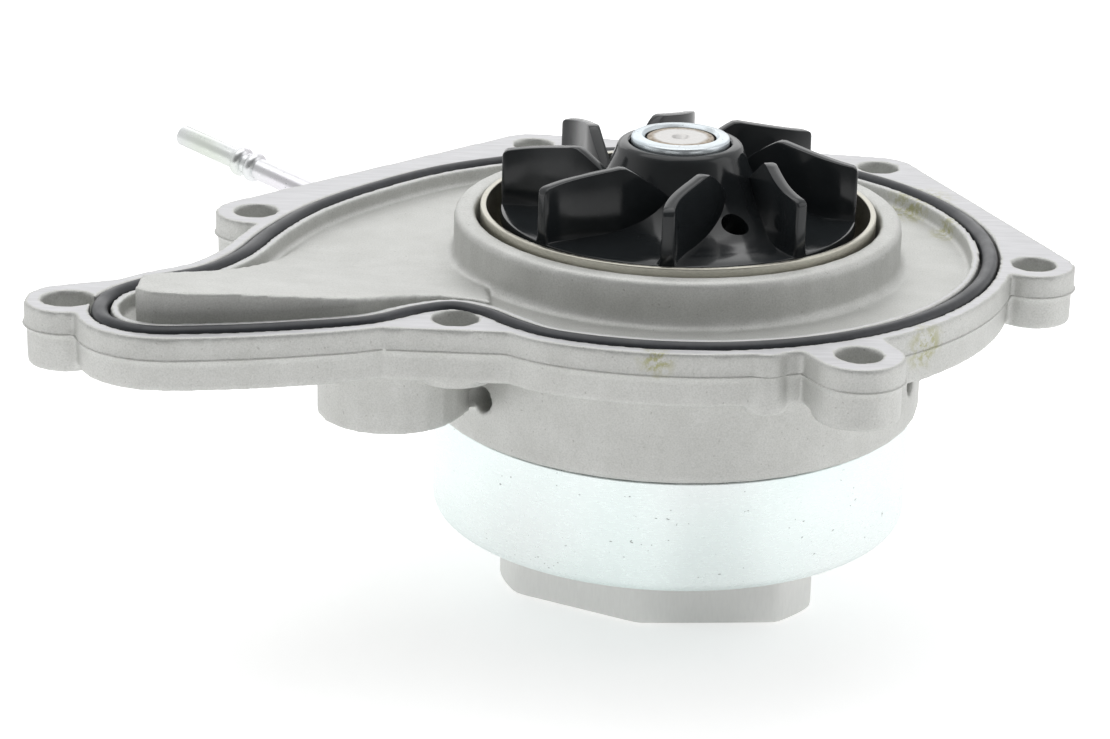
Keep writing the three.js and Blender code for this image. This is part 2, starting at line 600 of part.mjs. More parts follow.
function impeller() {
  const bore = BUSH_R + GAP;
  const hub = revolve([
    [SHAFT_R + GAP + 1.2, DISC_BOTTOM], [IMPELLER_R - 0.6, DISC_BOTTOM], [IMPELLER_R, DISC_BOTTOM + 0.5],
    [IMPELLER_R, 4.7], [IMPELLER_R - 0.4, 5.0], [24.0, 5.1], [20.0, 5.6], [17.0, 6.6], [14.3, 8.4],
    [12.3, 11.0], [11.0, 13.8], [10.3, 15.8], [9.5, 16.7], [bore, 16.7], [bore, 6.0],
    [SHAFT_R + GAP + 1.2, 6.0],
  ], 40);
  const blades = [];
  for (let i = 0; i < BLADES; i += 1) blades.push(blade(BLADE_FIRST + (360 * i) / BLADES));
  const balanceHoles = BALANCE_ANGLES.map((angle) => {
    const hole = new THREE.CylinderGeometry(BALANCE_R, BALANCE_R, 12, 12).rotateX(Math.PI / 2);
    hole.rotateY(radians(32)).translate(15.8, 0, 6.3);
    return solid(hole.rotateZ(radians(angle)));
  });
  const boreTool = solid(cylinder(bore, 6.0, 30, 0, 0, 40));
  return toGeometry(cut(join([solid(hub), ...blades]), [...balanceHoles, boreTool]));
}

/** The steel bush moulded into the impeller, a press fit on the shaft. */
function impellerBush() {
  const inner = SHAFT_R + GAP;
  return revolve([
    [inner, 6.3], [BUSH_R, 6.3], [BUSH_R, BUSH_TOP - 0.5], [BUSH_R - 0.5, BUSH_TOP],
    [inner + 0.4, BUSH_TOP], [inner, BUSH_TOP - 0.4],
  ], 32);
}

addPiece('impeller', impeller(), blackPlastic);
addPiece('impeller_bush', weld(impellerBush()), zincPlate);

// ---------------------------------------------------------------- pulley and drive hub

const screwPlaces = SCREW_ANGLES.map((angle) => onCircle(SCREW_CIRCLE, angle));

/** The smooth belt pulley: an open cup with a flat web. */
function drivePulley() {
  const inner = PULLEY_R - PULLEY_WALL;
  const web = -PULLEY_BOTTOM + WEB_THICK;
  const cup = solid(revolve([
    [HUB_NOSE_R + GAP, -PULLEY_BOTTOM], [PULLEY_R - 1.2, -PULLEY_BOTTOM],
    [PULLEY_R - 0.35, -PULLEY_BOTTOM + 0.35],
    [PULLEY_R, -PULLEY_BOTTOM + 1.2], [PULLEY_R, -PULLEY_TOP - 0.4], [PULLEY_R - 0.4, -PULLEY_TOP],
    [inner, -PULLEY_TOP], [inner, web + 1.5], [inner - 1.5, web], [HUB_NOSE_R + GAP, web],
  ], 52));
  const holes = screwPlaces.map(([x, y]) => {
    return solid(cylinder(SCREW_R + GAP, -PULLEY_BOTTOM - 1, web + 1, x, y, 12));
  });
  return toGeometry(cut(cup, holes));
}

/** The hub's radius: three round lobes with two flats between each pair. */
function hubRadius(angle) {
  const flats = [-1, 1].flatMap((side) => [0, 120, 240].map((turn) => {
    return radians(angle - HUB_FIRST_SIDE - turn - side * HUB_FLAT_HALF);
  }));
  const reach = flats.map((turn) => (Math.cos(turn) > 0.1 ? HUB_FLAT / Math.cos(turn) : HUB_LOBE_R));
  return Math.min(HUB_LOBE_R, ...reach);
}

function driveHub() {
  const outline = [];
  for (let angle = 0; angle < 360; angle += 6) outline.push(onCircle(hubRadius(angle), angle));
  const top = -PULLEY_BOTTOM - GAP;
  const block = solid(slab(outline, -FACE, top));
  const nose = solid(cylinder(HUB_NOSE_R, top - 2, -DRUM_BOTTOM - 0.6, 0, 0, 24));
  const bore = solid(cylinder(RACE_R + GAP, -55.0 - GAP, 0, 0, 0, 24));
  const threads = screwPlaces.map(([x, y]) => solid(cylinder(SCREW_R + GAP, -SCREW_TIP - GAP, 0, x, y, 12)));
  return toGeometry(cut(block.add(nose), [bore, ...threads]));
}

/** A socket-head screw that holds the pulley on the hub. */
function pulleyScrew(x, y) {
  const under = -PULLEY_BOTTOM + WEB_THICK + GAP;
  const body = revolve([
    [0, -SCREW_TIP], [SCREW_R - 0.5, -SCREW_TIP], [SCREW_R, -SCREW_TIP + 0.5], [SCREW_R, under],
    [SCREW_HEAD_R, under], [SCREW_HEAD_R, under + 2.1], [SCREW_HEAD_R - 0.4, under + 2.5], [0, under + 2.5],
  ], 12);
  const socket = cylinder(2.0, under + 1.0, under + 4, 0, 0, 6);
  return toGeometry(solid(body).subtract(solid(socket)).translate([x, y, 0]));
}

addPiece('drive_pulley', drivePulley(), zincPlate);
addPiece('drive_hub', driveHub(), sinteredSteel);
screwPlaces.forEach(([x, y], i) => addPiece(`pulley_screw_${i + 1}`, pulleyScrew(x, y), steel));

export default pump;
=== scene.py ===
"""Looks for the vacuum-switched coolant pump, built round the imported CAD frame."""
import json
import math

import bmesh
import bpy
from mathutils import Matrix, Vector


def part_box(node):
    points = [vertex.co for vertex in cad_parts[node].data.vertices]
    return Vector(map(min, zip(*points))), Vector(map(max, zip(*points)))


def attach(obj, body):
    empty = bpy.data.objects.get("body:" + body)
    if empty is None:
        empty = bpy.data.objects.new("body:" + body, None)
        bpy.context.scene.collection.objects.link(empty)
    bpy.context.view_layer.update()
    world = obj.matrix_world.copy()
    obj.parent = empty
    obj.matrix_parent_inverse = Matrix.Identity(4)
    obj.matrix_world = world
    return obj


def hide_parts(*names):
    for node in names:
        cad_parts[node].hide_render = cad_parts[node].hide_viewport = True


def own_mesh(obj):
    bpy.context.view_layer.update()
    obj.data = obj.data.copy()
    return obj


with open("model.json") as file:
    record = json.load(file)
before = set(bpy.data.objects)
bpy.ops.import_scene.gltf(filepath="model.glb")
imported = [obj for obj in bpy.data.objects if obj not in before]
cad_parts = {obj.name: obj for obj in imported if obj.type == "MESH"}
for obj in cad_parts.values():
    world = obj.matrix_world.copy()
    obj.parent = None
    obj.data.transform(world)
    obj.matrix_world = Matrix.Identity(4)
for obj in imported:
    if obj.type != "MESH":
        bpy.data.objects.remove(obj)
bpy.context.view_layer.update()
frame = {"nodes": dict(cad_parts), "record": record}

MM = 0.001
MOUNTS = {mount["name"]: mount for mount in frame["record"]["mounts"]}
FACE = MOUNTS["flange_face"]["pos_m"][2] / MM  # height of the sealing face, in millimetres


def top_of(node):
    """Height of a node's highest point above the sealing face, in millimetres."""
    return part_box(node)[1].z / MM - FACE


def foot_of(node):
    """Height of a node's lowest point above the sealing face, in millimetres."""
    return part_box(node)[0].z / MM - FACE


def radius_of(node):
    """Radius of a node that is round about the pump axis, in millimetres."""
    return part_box(node)[1].x / MM


# ------------------------------------------------------------------ camera, light and floor

CAMERA_TARGET = Vector((-19.4, 0.0, FACE - 23.3)) * MM
CAMERA_DISTANCE = 521.5 * MM
CAMERA_ELEVATION = math.radians(20.52)
CAMERA_ROLL = math.radians(1.37)
LENS = 101.8  # focal length on a 36 mm sensor
FLOOR_SIZE = 6.0  # metres
FLOOR_GAP = 0.0002  # metres between the floor and the drive hub that stands on it
LIGHT_TARGET = (0, 0, 0.05)  # metres
LIGHTS = (  # name, place, size (metres) and power (watts)
    ("key_above", (-0.1, 0.15, 1.0), (1.2, 0.9), 3.2),
    ("fill_right", (0.9, -0.1, 0.5), (0.6, 0.7), 0.9),
    ("rim_behind", (-0.1, 1.0, 0.5), (1.4, 0.5), 1.6),
)
FRONT_DIRECTION = (0.0, -0.94, 0.34)  # where the light tent is dimmest
TENT_BRIGHT = 0.85
TENT_DIM = 0.22
TABLE_GLOW = 0.42  # the table is lit from below, so walls near it are bright
TABLE_SHADE = 0.62  # share of that glow left in a wedge of the table before the object
TABLE_SHADE_BEARING = 0.26  # the wedge's middle, in radians to the right of the way to the camera
TABLE_SHADE_EDGES = (0.12, 0.42)  # radians from its middle where the shade starts to fade and is gone
TABLE_SHADE_BEHIND = 0.45  # share of the glow left on the table behind the object
TABLE_BEHIND_FROM = 0.15  # metres behind the pump axis where it is down to that share


def make_camera():
    """The photograph's viewing angle: a long lens a little above the flange."""
    data = bpy.data.cameras.new("camera")
    data.sensor_width = 36.0
    data.lens = LENS
    data.clip_start, data.clip_end = 0.01, 20.0
    camera = bpy.data.objects.new("camera", data)
    bpy.context.scene.collection.objects.link(camera)
    back = Vector((0, -math.cos(CAMERA_ELEVATION), math.sin(CAMERA_ELEVATION)))
    turn = (-back).to_track_quat("-Z", "Y").to_matrix().to_4x4()
    roll = Matrix.Rotation(CAMERA_ROLL, 4, "Z")
    camera.matrix_world = Matrix.Translation(CAMERA_TARGET + back * CAMERA_DISTANCE) @ turn @ roll
    bpy.context.scene.camera = camera


def area_light(name, place, size, power):
    """A white soft box that points at the middle of the object."""
    data = bpy.data.lights.new(name, "AREA")
    data.shape = "RECTANGLE"
    data.size, data.size_y = size
    data.energy = power
    light = bpy.data.objects.new(name, data)
    bpy.context.scene.collection.objects.link(light)
    light.location = place
    light.rotation_mode = "QUATERNION"
    light.rotation_quaternion = (Vector(LIGHT_TARGET) - Vector(place)).to_track_quat("-Z", "Y")


def world_light(world):
    """Bright from above and behind, dim towards the front at eye level, as in a small light tent."""
    world.use_nodes = True
    tree = world.node_tree
    background = tree.nodes["Background"]
    direction = tree.nodes.new("ShaderNodeTexCoord").outputs["Generated"]
    aim = tree.nodes.new("ShaderNodeVectorMath")
    aim.operation = "DOT_PRODUCT"
    aim.inputs[1].default_value = FRONT_DIRECTION
    tree.links.new(direction, aim.inputs[0])
    glow = tree.nodes.new("ShaderNodeMapRange")
    glow.interpolation_type = "SMOOTHSTEP"
    limits = {"From Min": 0.0, "From Max": 0.9, "To Min": TENT_BRIGHT, "To Max": TENT_DIM}
    for key, number in limits.items():
        glow.inputs[key].default_value = number
    tree.links.new(aim.outputs["Value"], glow.inputs["Value"])
    path = tree.nodes.new("ShaderNodeLightPath")
    shown = tree.nodes.new("ShaderNodeMix")
    shown.inputs["B"].default_value = 1.0
    tree.links.new(path.outputs["Is Camera Ray"], shown.inputs["Factor"])
    tree.links.new(glow.outputs["Result"], shown.inputs["A"])
    tree.links.new(shown.outputs["Result"], background.inputs["Strength"])
    background.inputs["Color"].default_value = (1.0, 1.0, 1.0, 1.0)


def make_studio():
    """The light tent, its three lights and the light table that the object stands on."""
    scene = bpy.context.scene
    scene.view_settings.view_transform = "Standard"
    scene.world = bpy.data.worlds.new("studio")
    world_light(scene.world)
    for light in LIGHTS:
        area_light(*light)
    mesh = bpy.data.meshes.new("floor")
    half = FLOOR_SIZE / 2
    corners = [(-half, -half, 0), (half, -half, 0), (half, half, 0), (-half, half, 0)]
    mesh.from_pydata(corners, [], [(0, 1, 2, 3)])
    floor = bpy.data.objects.new("floor", mesh)
    scene.collection.objects.link(floor)
    floor.location.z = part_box("drive_hub")[0].z - FLOOR_GAP
    floor.data.materials.append(floor_material())


# ------------------------------------------------------------------ material helpers


class Nodes:
    """A short way to build a Principled material from nodes."""

    def __init__(self, name):
        self.material = bpy.data.materials.new(name)
        self.material.use_nodes = True
        self.tree = self.material.node_tree
        self.shader = self.tree.nodes["Principled BSDF"]
        self.place = self.add("ShaderNodeTexCoord").outputs["Object"]

    def add(self, kind, **settings):
        node = self.tree.nodes.new(kind)
        for key, value in settings.items():
            setattr(node, key, value)
        return node

    def link(self, source, target):
        self.tree.links.new(source, target)

    def set(self, **values):
        for key, value in values.items():
            self.shader.inputs[key.replace("_", " ")].default_value = value

    def stretched(self, scale):
        """Object coordinates scaled along each axis, for lines and streaks."""
        mapping = self.add("ShaderNodeMapping")
        mapping.inputs["Scale"].default_value = scale
        self.link(self.place, mapping.inputs["Vector"])
        return mapping.outputs["Vector"]

    def noise(self, size_mm, detail=3.0, rough=0.5, where=None):
        """Noise whose blobs are about size_mm across, from 0 to 1."""
        node = self.add("ShaderNodeTexNoise")
        node.inputs["Scale"].default_value = 1.0 / (size_mm * MM)
        node.inputs["Detail"].default_value = detail
        node.inputs["Roughness"].default_value = rough
        self.link(where or self.place, node.inputs["Vector"])
        return node.outputs["Fac"]

    def ramp(self, value, stops):
        """A colour ramp from (place, colour) stops."""
        node = self.add("ShaderNodeValToRGB")
        elements = node.color_ramp.elements
        while len(elements) < len(stops):
            elements.new(0.5)
        for element, (at, color) in zip(elements, stops):
            element.position = at
            element.color = (*color, 1.0)
        self.link(value, node.inputs["Fac"])
        return node.outputs["Color"]

    def map(self, value, low, high, out_low=0.0, out_high=1.0):
        """A smooth step: low becomes out_low and high becomes out_high."""
        node = self.add("ShaderNodeMapRange")
        node.interpolation_type = "SMOOTHSTEP"
        limits = {"From Min": low, "From Max": high, "To Min": out_low, "To Max": out_high}
        for key, number in limits.items():
            node.inputs[key].default_value = number
        self.link(value, node.inputs["Value"])
        return node.outputs["Result"]

    def math(self, operation, a, b):
        node = self.add("ShaderNodeMath", operation=operation)
        for socket, value in zip(node.inputs, (a, b)):
            if isinstance(value, (int, float)):
                socket.default_value = value
            else:
                self.link(value, socket)
        return node.outputs["Value"]

    def mix(self, factor, a, b, blend="MIX"):
        """Two colours mixed; inputs 0, 6 and 7 are the factor and the RGBA pair."""
        node = self.add("ShaderNodeMix", data_type="RGBA", blend_type=blend)
        for socket, value in zip((node.inputs[0], node.inputs[6], node.inputs[7]), (factor, a, b)):
            if isinstance(value, (int, float)):
                socket.default_value = value
            elif isinstance(value, tuple):
                socket.default_value = (*value, 1.0)
            else:
                self.link(value, socket)
        return node.outputs[2]

    def bump(self, height, depth_mm, strength=1.0, below=None):
        node = self.add("ShaderNodeBump")
        node.inputs["Distance"].default_value = depth_mm * MM
        node.inputs["Strength"].default_value = strength
        self.link(height, node.inputs["Height"])
        if below is not None:
            self.link(below, node.inputs["Normal"])
        return node.outputs["Normal"]

    def split(self, vector):
        node = self.add("ShaderNodeSeparateXYZ")
        self.link(vector, node.inputs["Vector"])
        return node.outputs

    def out(self, color=None, roughness=None, normal=None):
        wanted = (("Base Color", color), ("Roughness", roughness), ("Normal", normal))
        for key, value in wanted:
            if value is not None:
                self.link(value, self.shader.inputs[key])
        return self.material


def floor_material():
    """A matt light table. The camera sees its full glow, and the object gets less from two parts of it."""
    m = Nodes("light_table")
    m.set(Roughness=0.9, Emission_Color=(1.0, 1.0, 1.0, 1.0))
    across, along, _ = m.split(m.place)
    bearing = m.math("ARCTAN2", across, m.math("MULTIPLY", along, -1.0))
    aside = m.math("ABSOLUTE", m.math("SUBTRACT", bearing, TABLE_SHADE_BEARING), 0.0)
    glow = m.map(aside, *TABLE_SHADE_EDGES, TABLE_GLOW * TABLE_SHADE, TABLE_GLOW)
    behind = m.map(along, 0.0, TABLE_BEHIND_FROM, 1.0, TABLE_SHADE_BEHIND)
    glow = m.math("MULTIPLY", glow, behind)
    seen = m.add("ShaderNodeLightPath").outputs["Is Camera Ray"]
    glow = m.math("MAXIMUM", glow, m.math("MULTIPLY", seen, TABLE_GLOW))
    m.link(glow, m.shader.inputs["Emission Strength"])
    tone = m.ramp(m.noise(180.0), [(0.3, (0.94, 0.94, 0.94)), (0.7, (0.96, 0.96, 0.96))])
    return m.out(color=tone)


STAINS = (  # dried coolant: where each patch lies and how far it spreads, in millimetres
    ((42.4, 26.0, FACE - 2.6), 8.0),
    ((46.6, 14.0, FACE - 2.6), 5.0),
    ((-4.5, -54.6, FACE - 1.2), 3.6),
    ((37.0, -40.8, FACE - 3.0), 5.0),
)


def cast_aluminium():
    """Fine shot-blasted casting, with a smoother machined sealing face and old coolant stains."""
    m = Nodes("cast_aluminium")
    m.set(Metallic=0.75)
    grain = m.noise(0.26, 3.0, 0.6)
    cloud = m.noise(7.0, 4.0, 0.6)
    skin_stops = [
        (0.28, (0.555, 0.56, 0.542)), (0.5, (0.635, 0.64, 0.62)), (0.72, (0.70, 0.70, 0.687)),
    ]
    skin = m.ramp(grain, skin_stops)
    shade = m.ramp(cloud, [(0.3, (0.90, 0.90, 0.895)), (0.7, (1.0, 1.0, 1.0))])
    skin = m.mix(1.0, skin, shade, "MULTIPLY")
    pit = m.map(m.noise(0.6, 1.0), 0.73, 0.78)
    skin = m.mix(m.math("MULTIPLY", pit, 0.35), skin, (0.24, 0.23, 0.21))
    xyz = m.split(m.place)
    upward = m.split(m.add("ShaderNodeNewGeometry").outputs["Normal"])["Z"]
    level = m.math("ABSOLUTE", m.math("SUBTRACT", xyz["Z"], FACE * MM), 0.0)
    at_face = m.map(level, 0.06 * MM, 0.09 * MM, 1.0, 0.0)
    machined = m.math("MULTIPLY", m.map(upward, 0.991, 0.997), at_face)
    milled = m.noise(1.6, 2.0, 0.5, m.stretched((0.25, 3.0, 1.0)))
    milled_tone = m.ramp(milled, [(0.3, (0.54, 0.54, 0.552)), (0.7, (0.62, 0.62, 0.635))])
    color = m.mix(machined, skin, milled_tone)
    stain = 0.0
    for centre, reach in STAINS:
        apart = m.add("ShaderNodeVectorMath", operation="DISTANCE")
        m.link(m.place, apart.inputs[0])
        apart.inputs[1].default_value = Vector(centre) * MM
        patch = m.map(apart.outputs["Value"], 0.2 * reach * MM, reach * MM, 1.0, 0.0)
        stain = m.math("MAXIMUM", stain, patch)
    stain = m.math("MULTIPLY", stain, m.map(m.noise(1.3, 5.0, 0.7), 0.42, 0.60))
    color = m.mix(m.math("MULTIPLY", stain, 0.8), color, (0.38, 0.375, 0.16))
    rough = m.map(machined, 0.0, 1.0, 0.56, 0.46)
    pits = m.math("MULTIPLY", grain, m.map(machined, 0.0, 1.0, 1.0, 0.12))
    normal = m.bump(pits, 0.06, 0.5)
    normal = m.bump(m.noise(3.0, 3.0), 0.10, 0.35, normal)
    return m.out(color=color, roughness=rough, normal=normal)


def seal_rubber():
    """Black moulded rubber with a satin skin and a trace of dust."""
    m = Nodes("seal_rubber")
    m.set(Specular_IOR_Level=0.55)
    dust = m.noise(1.1, 4.0, 0.7)
    color = m.ramp(dust, [(0.35, (0.015, 0.017, 0.022)), (0.75, (0.027, 0.031, 0.038))])
    rough = m.map(m.noise(4.0), 0.3, 0.7, 0.30, 0.42)
    return m.out(color=color, roughness=rough, normal=m.bump(m.noise(0.35, 2.0), 0.02, 0.3))


def zinc_plate(name, tint, around=True):
    """Bright zinc: a pale blue-green film over steel, drawn or turned lines, and small nicks."""
    m = Nodes(name)
    m.set(Metallic=1.0)
    film = m.noise(22.0, 1.0)
    color = m.ramp(film, [(0.3, tint[0]), (0.5, tint[1]), (0.7, tint[2])])
    stretch = (1.0, 1.0, 9.0) if around else (1.0, 1.0, 1.0)
    lines = m.noise(1.2, 4.0, 0.6, m.stretched(stretch))
    nick = m.map(m.noise(0.8, 1.0, 0.5, m.stretched((1.0, 1.0, 1.7))), 0.72, 0.77)
    scarce = m.map(m.noise(6.0, 1.0), 0.50, 0.58)
    nick = m.math("MULTIPLY", nick, scarce)
    color = m.mix(m.math("MULTIPLY", nick, 0.75), color, (0.20, 0.22, 0.21))
    rough = m.map(lines, 0.3, 0.7, 0.26, 0.36)
    normal = m.bump(lines, 0.012, 0.35)
    return m.out(color=color, roughness=rough, normal=m.bump(nick, -0.03, 0.6, normal))


def plain_steel(name, dark, light, size_mm=0.8, stretch=(1.0, 1.0, 6.0), rough=(0.28, 0.42), depth=0.015):
    """Ground, drawn or turned steel with fine lines."""
    m = Nodes(name)
    m.set(Metallic=1.0)
    lines = m.noise(size_mm, 4.0, 0.6, m.stretched(stretch))
    color = m.ramp(lines, [(0.3, dark), (0.7, light)])
    return m.out(color=color, roughness=m.map(lines, 0.3, 0.7, *rough), normal=m.bump(lines, depth, 0.5))


def shaft_steel():
    """Turned steel whose end face is clean in the middle and browned towards its rim."""
    m = Nodes("shaft_steel")
    m.set(Metallic=1.0)
    xyz = m.split(m.place)
    squares = [m.math("POWER", xyz[axis], 2.0) for axis in "XY"]
    from_axis = m.math("SQRT", m.math("ADD", *squares), 0.0)
    wander = m.math("MULTIPLY", m.noise(1.2, 4.0, 0.7), 1.0 * MM)
    browned = m.map(m.math("ADD", from_axis, wander), 4.4 * MM, 5.3 * MM)
    clean = m.ramp(m.noise(0.7, 4.0, 0.6), [(0.3, (0.50, 0.49, 0.475)), (0.7, (0.66, 0.65, 0.64))])
    worn = m.ramp(m.noise(0.5, 4.0, 0.7), [(0.35, (0.16, 0.12, 0.085)), (0.65, (0.42, 0.36, 0.28))])
    rings = m.add("ShaderNodeTexWave", wave_type="RINGS", rings_direction="Z")
    rings.inputs["Scale"].default_value = 420.0
    m.link(m.place, rings.inputs["Vector"])
    return m.out(
        color=m.mix(browned, clean, worn),
        roughness=m.map(m.noise(0.7), 0.3, 0.7, 0.34, 0.5),
        normal=m.bump(rings.outputs["Fac"], 0.01, 0.4),
    )


def moulded_plastic(name, color_low, color_high, rough, specular=0.5):
    """A smooth moulded or pressed surface: plastic, carbon or ceramic, faintly mottled and dusty."""
    m = Nodes(name)
    m.set(Specular_IOR_Level=specular)
    mottle = m.noise(3.0, 4.0, 0.6)
    color = m.ramp(mottle, [(0.3, color_low), (0.7, color_high)])
    specks = m.map(m.noise(0.5, 2.0), 0.74, 0.80)
    color = m.mix(m.math("MULTIPLY", specks, 0.10), color, (0.22, 0.22, 0.21))
    roughness = m.map(m.noise(2.5, 2.0), 0.3, 0.7, *rough)
    return m.out(color=color, roughness=roughness, normal=m.bump(m.noise(0.6, 2.0), 0.006, 0.15))


# ------------------------------------------------------------------ mesh helpers


def on_circle(radius, degrees):
    """The x and y of a point on a circle round the pump axis."""
    angle = math.radians(degrees)
    return radius * math.cos(angle), radius * math.sin(angle)


def finish_piece(bm, name, material, body, replaces=(), smooth=35.0):
    """Turns a bmesh in millimetres, with the sealing face at z = 0, into a piece on a body."""
    bmesh.ops.translate(bm, vec=(0, 0, FACE), verts=bm.verts)
    bmesh.ops.scale(bm, vec=(MM, MM, MM), verts=bm.verts)
    bmesh.ops.recalc_face_normals(bm, faces=bm.faces)
    mesh = bpy.data.meshes.new(name)
    bm.to_mesh(mesh)
    bm.free()
    piece = bpy.data.objects.new(name, mesh)
    bpy.context.scene.collection.objects.link(piece)
    mesh.materials.append(material)
    shade(mesh, smooth)
    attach(piece, body)
    if replaces:
        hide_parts(*replaces)
    return piece


def shade(mesh, degrees):
    """Smooth shading that stays sharp at edges bent by more than this many degrees."""
    mesh.polygons.foreach_set("use_smooth", [True] * len(mesh.polygons))
    mesh.set_sharp_from_angle(angle=math.radians(degrees))


def round_corners(profile, radii, steps=4):
    """A closed [radius, z] profile with each corner rounded by its own radius."""
    rounded = []
    count = len(profile)
    for i, corner in enumerate(profile):
        radius = radii[i]
        here = Vector(corner)
        before = Vector(profile[i - 1]) - here
        after = Vector(profile[(i + 1) % count]) - here
        half = before.angle(after) / 2
        reach = min(radius / math.tan(half), 0.45 * before.length, 0.45 * after.length) if radius else 0
        if reach < 1e-4 or half > math.radians(86):
            rounded.append(tuple(here))
            continue
        start = here + before.normalized() * reach
        end = here + after.normalized() * reach
        for step in range(steps + 1):
            t = step / steps
            point = start * (1 - t) ** 2 + here * 2 * t * (1 - t) + end * t**2
            rounded.append(tuple(point))
    return rounded


def lathe(profile, segments):
    """A body of revolution from a closed [radius, z] loop. Points on the axis are shared."""
    bm = bmesh.new()
    rings = []
    for radius, z in profile:
        if radius < 1e-6:
            rings.append([bm.verts.new((0, 0, z))] * segments)
        else:
            turn = [on_circle(radius, 360 * i / segments) for i in range(segments)]
            rings.append([bm.verts.new((x, y, z)) for x, y in turn])
    for a, b in zip(rings, rings[1:] + rings[:1]):
        for i in range(segments):
            j = (i + 1) % segments
            corners = []
            for vert in (a[i], a[j], b[j], b[i]):
                if vert not in corners:
                    corners.append(vert)
            if len(corners) > 2:
                bm.faces.new(corners)
    return bm


def sweep(points, section, closed=True):
    """A tube: the same upright section loop at every point of a path, joined by quads."""
    bm = bmesh.new()
    rings = []
    count = len(points)
    for i, point in enumerate(points):
        ahead = points[(i + 1) % count] if closed or i < count - 1 else point
        behind = points[i - 1] if closed or i > 0 else point
        forward = (Vector(ahead) - Vector(behind)).normalized()
        side = forward.cross(Vector((0, 0, 1))).normalized()
        lift = side.cross(forward)
        rings.append([bm.verts.new(Vector(point) + side * u + lift * v) for u, v in section])
    pairs = list(zip(rings, rings[1:])) + ([(rings[-1], rings[0])] if closed else [])
    size = len(section)
    for a, b in pairs:
        for i in range(size):
            j = (i + 1) % size
            bm.faces.new((a[i], a[j], b[j], b[i]))
    if not closed:
        bm.faces.new(list(reversed(rings[0])))
        bm.faces.new(rings[-1])
    return bm


def temporary(bm):
    """A helper object that holds a bmesh while modifiers work on it."""
    mesh = bpy.data.meshes.new("temporary")
    bmesh.ops.recalc_face_normals(bm, faces=bm.faces)
    bm.to_mesh(mesh)
    bm.free()
    holder = bpy.data.objects.new("temporary", mesh)
    bpy.context.scene.collection.objects.link(holder)
    return holder


def remove(holder):
    """Deletes a helper object and its mesh."""
    mesh = holder.data
    bpy.data.objects.remove(holder)
    bpy.data.meshes.remove(mesh)


def boolean(body, tools, operation):
    """Joins (UNION) or cuts (DIFFERENCE) bmeshes and gives one bmesh back."""
    base = temporary(body)
    helpers = [temporary(tool) for tool in tools]
    for helper in helpers:
        modifier = base.modifiers.new("join_or_cut", "BOOLEAN")
        modifier.operation = operation
        modifier.solver = "EXACT"
        modifier.object = helper
    depsgraph = bpy.context.evaluated_depsgraph_get()
    result = bmesh.new()
    result.from_object(base, depsgraph)
    for holder in (base, *helpers):
        remove(holder)
    return result


def moved(bm, matrix):
    """The same bmesh, moved by a matrix."""
    bmesh.ops.transform(bm, matrix=matrix, verts=bm.verts)
    return bm


def pole(radius, bottom, top, x=0.0, y=0.0, segments=48):
    """An upright cylinder."""
    bm = lathe([(0, bottom), (radius, bottom), (radius, top), (0, top)], segments)
    return moved(bm, Matrix.Translation((x, y, 0)))


def catmull_rom(points, steps):
    """A closed centripetal Catmull-Rom curve through the points."""
    knots = [Vector(p) for p in points]
    count = len(knots)
    out = []
    for i in range(count):
        p0, p1, p2, p3 = (knots[(i + k - 1) % count] for k in range(4))
        t0 = 0.0
        t1 = t0 + (p1 - p0).length ** 0.5
        t2 = t1 + (p2 - p1).length ** 0.5
        t3 = t2 + (p3 - p2).length ** 0.5
        for step in range(steps):
            t = t1 + (t2 - t1) * step / steps
            a1 = p0 * ((t1 - t) / (t1 - t0)) + p1 * ((t - t0) / (t1 - t0))
            a2 = p1 * ((t2 - t) / (t2 - t1)) + p2 * ((t - t1) / (t2 - t1))
            a3 = p2 * ((t3 - t) / (t3 - t2)) + p3 * ((t - t2) / (t3 - t2))
            b1 = a1 * ((t2 - t) / (t2 - t0)) + a2 * ((t - t0) / (t2 - t0))
            b2 = a2 * ((t3 - t) / (t3 - t1)) + a3 * ((t - t1) / (t3 - t1))
            out.append(b1 * ((t2 - t) / (t2 - t1)) + b2 * ((t - t1) / (t2 - t1)))
    return out


def open_curve(points, steps):
    """A Catmull-Rom curve through [radius, z] points, ends included."""
    knots = [Vector((*p, 0)) for p in points]
    first = knots[0] * 2 - knots[1]
    last = knots[-1] * 2 - knots[-2]
    knots = [first, *knots, last]
    out = []
    for a, b, c, d in zip(knots, knots[1:], knots[2:], knots[3:]):
        for step in range(steps):
            t = step / steps
            bend = 2 * a - 5 * b + 4 * c - d
            swing = 3 * (b - c) + d - a
            out.append((2 * b + (c - a) * t + bend * t**2 + swing * t**3) / 2)
    return out + [knots[-2]]


# ------------------------------------------------------------------ materials

CAST = cast_aluminium()
RUBBER = seal_rubber()
PULLEY_ZINC = zinc_plate("pulley_zinc", [(0.74, 0.82, 0.81), (0.78, 0.85, 0.84), (0.82, 0.87, 0.865)])
ZINC = zinc_plate(
    "zinc_plate", [(0.66, 0.76, 0.70), (0.78, 0.82, 0.80), (0.80, 0.80, 0.86)], around=False
)
SLEEVE_STEEL = plain_steel("sleeve_steel", (0.44, 0.43, 0.37), (0.60, 0.58, 0.51))
HUB_STEEL = plain_steel(
    "hub_steel", (0.69, 0.69, 0.675), (0.75, 0.75, 0.735), 0.5, (1.0, 1.0, 0.22), (0.52, 0.60), 0.02
)
BUSH_ZINC = zinc_plate("bush_zinc", [(0.50, 0.58, 0.64), (0.58, 0.65, 0.69), (0.66, 0.70, 0.72)])
PIPE_ZINC = zinc_plate(
    "pipe_zinc", [(0.66, 0.72, 0.62), (0.74, 0.76, 0.76), (0.78, 0.74, 0.80)], around=False
)
SHAFT_STEEL = shaft_steel()
SPRING_STEEL = plain_steel("spring_steel", (0.34, 0.34, 0.35), (0.52, 0.52, 0.53))
